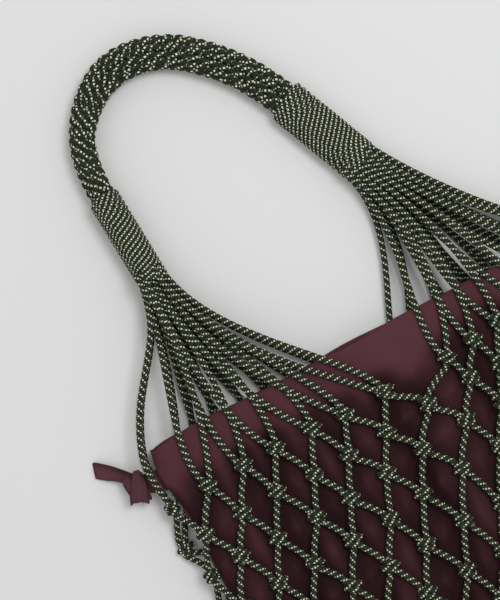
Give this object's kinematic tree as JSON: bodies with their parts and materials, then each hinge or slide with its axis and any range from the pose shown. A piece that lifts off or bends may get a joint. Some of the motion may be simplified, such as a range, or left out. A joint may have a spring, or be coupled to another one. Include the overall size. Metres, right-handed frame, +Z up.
{
  "type": "net shoulder bag",
  "caption": "Knotted diamond-mesh cord shoulder bag with a plaited handle and an inner drawstring fabric pouch, lying flat.",
  "frame": {"origin": "under the middle of the bag's box without the drawstring's knot and tails, on the surface that the bag lies on", "axes": "+Y from the bottom of the bag to the handle, +Z up from the back of the bag to its front, +X to the right seen from the front"},
  "size_m": [0.4573, 0.663, 0.0306],
  "materials": {
    "net_cord": "round braided cord, dark green with cream flecks",
    "knot_cord": "the same braided cord, knotted",
    "handle_cord": "the same braided cord, plaited",
    "wrap_cord": "the same braided cord, wound round the gathered cords",
    "pouch_fabric": "smooth matt woven cotton, burgundy",
    "drawstring_fabric": "folded strip of the pouch cloth"
  },
  "bodies": {
    "bag": {"bottom_knots": "knot_cord", "knot_row_01": "knot_cord", "knot_row_02": "knot_cord", "knot_row_03": "knot_cord", "knot_row_04": "knot_cord", "knot_row_05": "knot_cord", "knot_row_06": "knot_cord", "knot_row_07": "knot_cord", "knot_row_08": "knot_cord", "knot_row_09": "knot_cord", "knot_row_10": "knot_cord", "knot_row_11": "knot_cord", "left_fan_back": "net_cord", "left_fan_front": "net_cord", "net_cord_pair_01": "net_cord", "net_cord_pair_02": "net_cord", "net_cord_pair_03": "net_cord", "net_cord_pair_04": "net_cord", "net_cord_pair_05": "net_cord", "net_cord_pair_06": "net_cord", "net_cord_pair_07": "net_cord", "net_cord_pair_08": "net_cord", "net_cord_pair_09": "net_cord", "net_cord_pair_10": "net_cord", "net_cord_pair_11": "net_cord", "net_cord_pair_12": "net_cord", "net_cord_pair_13": "net_cord", "net_cord_pair_14": "net_cord", "net_cord_pair_15": "net_cord", "net_cord_pair_16": "net_cord", "net_cord_pair_17": "net_cord", "net_cord_pair_18": "net_cord", "net_cord_pair_19": "net_cord", "net_cord_pair_20": "net_cord", "net_cord_pair_21": "net_cord", "net_cord_pair_22": "net_cord", "net_cord_pair_23": "net_cord", "net_cord_pair_24": "net_cord", "net_cord_pair_25": "net_cord", "net_cord_pair_26": "net_cord", "pouch_back_casing": "pouch_fabric", "pouch_back_panel": "pouch_fabric", "pouch_bottom_seam": "pouch_fabric", "pouch_front_casing": "pouch_fabric", "pouch_front_panel": "pouch_fabric", "pouch_left_seam": "pouch_fabric", "pouch_right_seam": "pouch_fabric", "right_fan_back": "net_cord", "right_fan_front": "net_cord"},
    "handle": {"handle_braid": "handle_cord", "left_wrap": "wrap_cord", "right_wrap": "wrap_cord", "left_gathered_cords": "net_cord", "right_gathered_cords": "net_cord"},
    "drawstring": {"drawstring_back_run": "drawstring_fabric", "drawstring_front_run": "drawstring_fabric", "drawstring_knot": "drawstring_fabric", "drawstring_lower_tail": "drawstring_fabric", "drawstring_turn": "drawstring_fabric", "drawstring_upper_tail": "drawstring_fabric"}
  },
  "joints": [
    {"name": "handle_fold", "type": "hinge", "parent": "bag", "child": "handle", "pos_m": [0, 0.07852, 0.031], "axis": [1, 0, 0], "range_deg": [0, 180], "deforming": ["left_fan_front", "left_fan_back", "right_fan_front", "right_fan_back"]},
    {"name": "drawstring_pull", "type": "slide", "parent": "bag", "child": "drawstring", "axis": [-1, 0, 0], "range_m": [0, 0.1], "deforming": ["drawstring_turn"]}
  ]
}
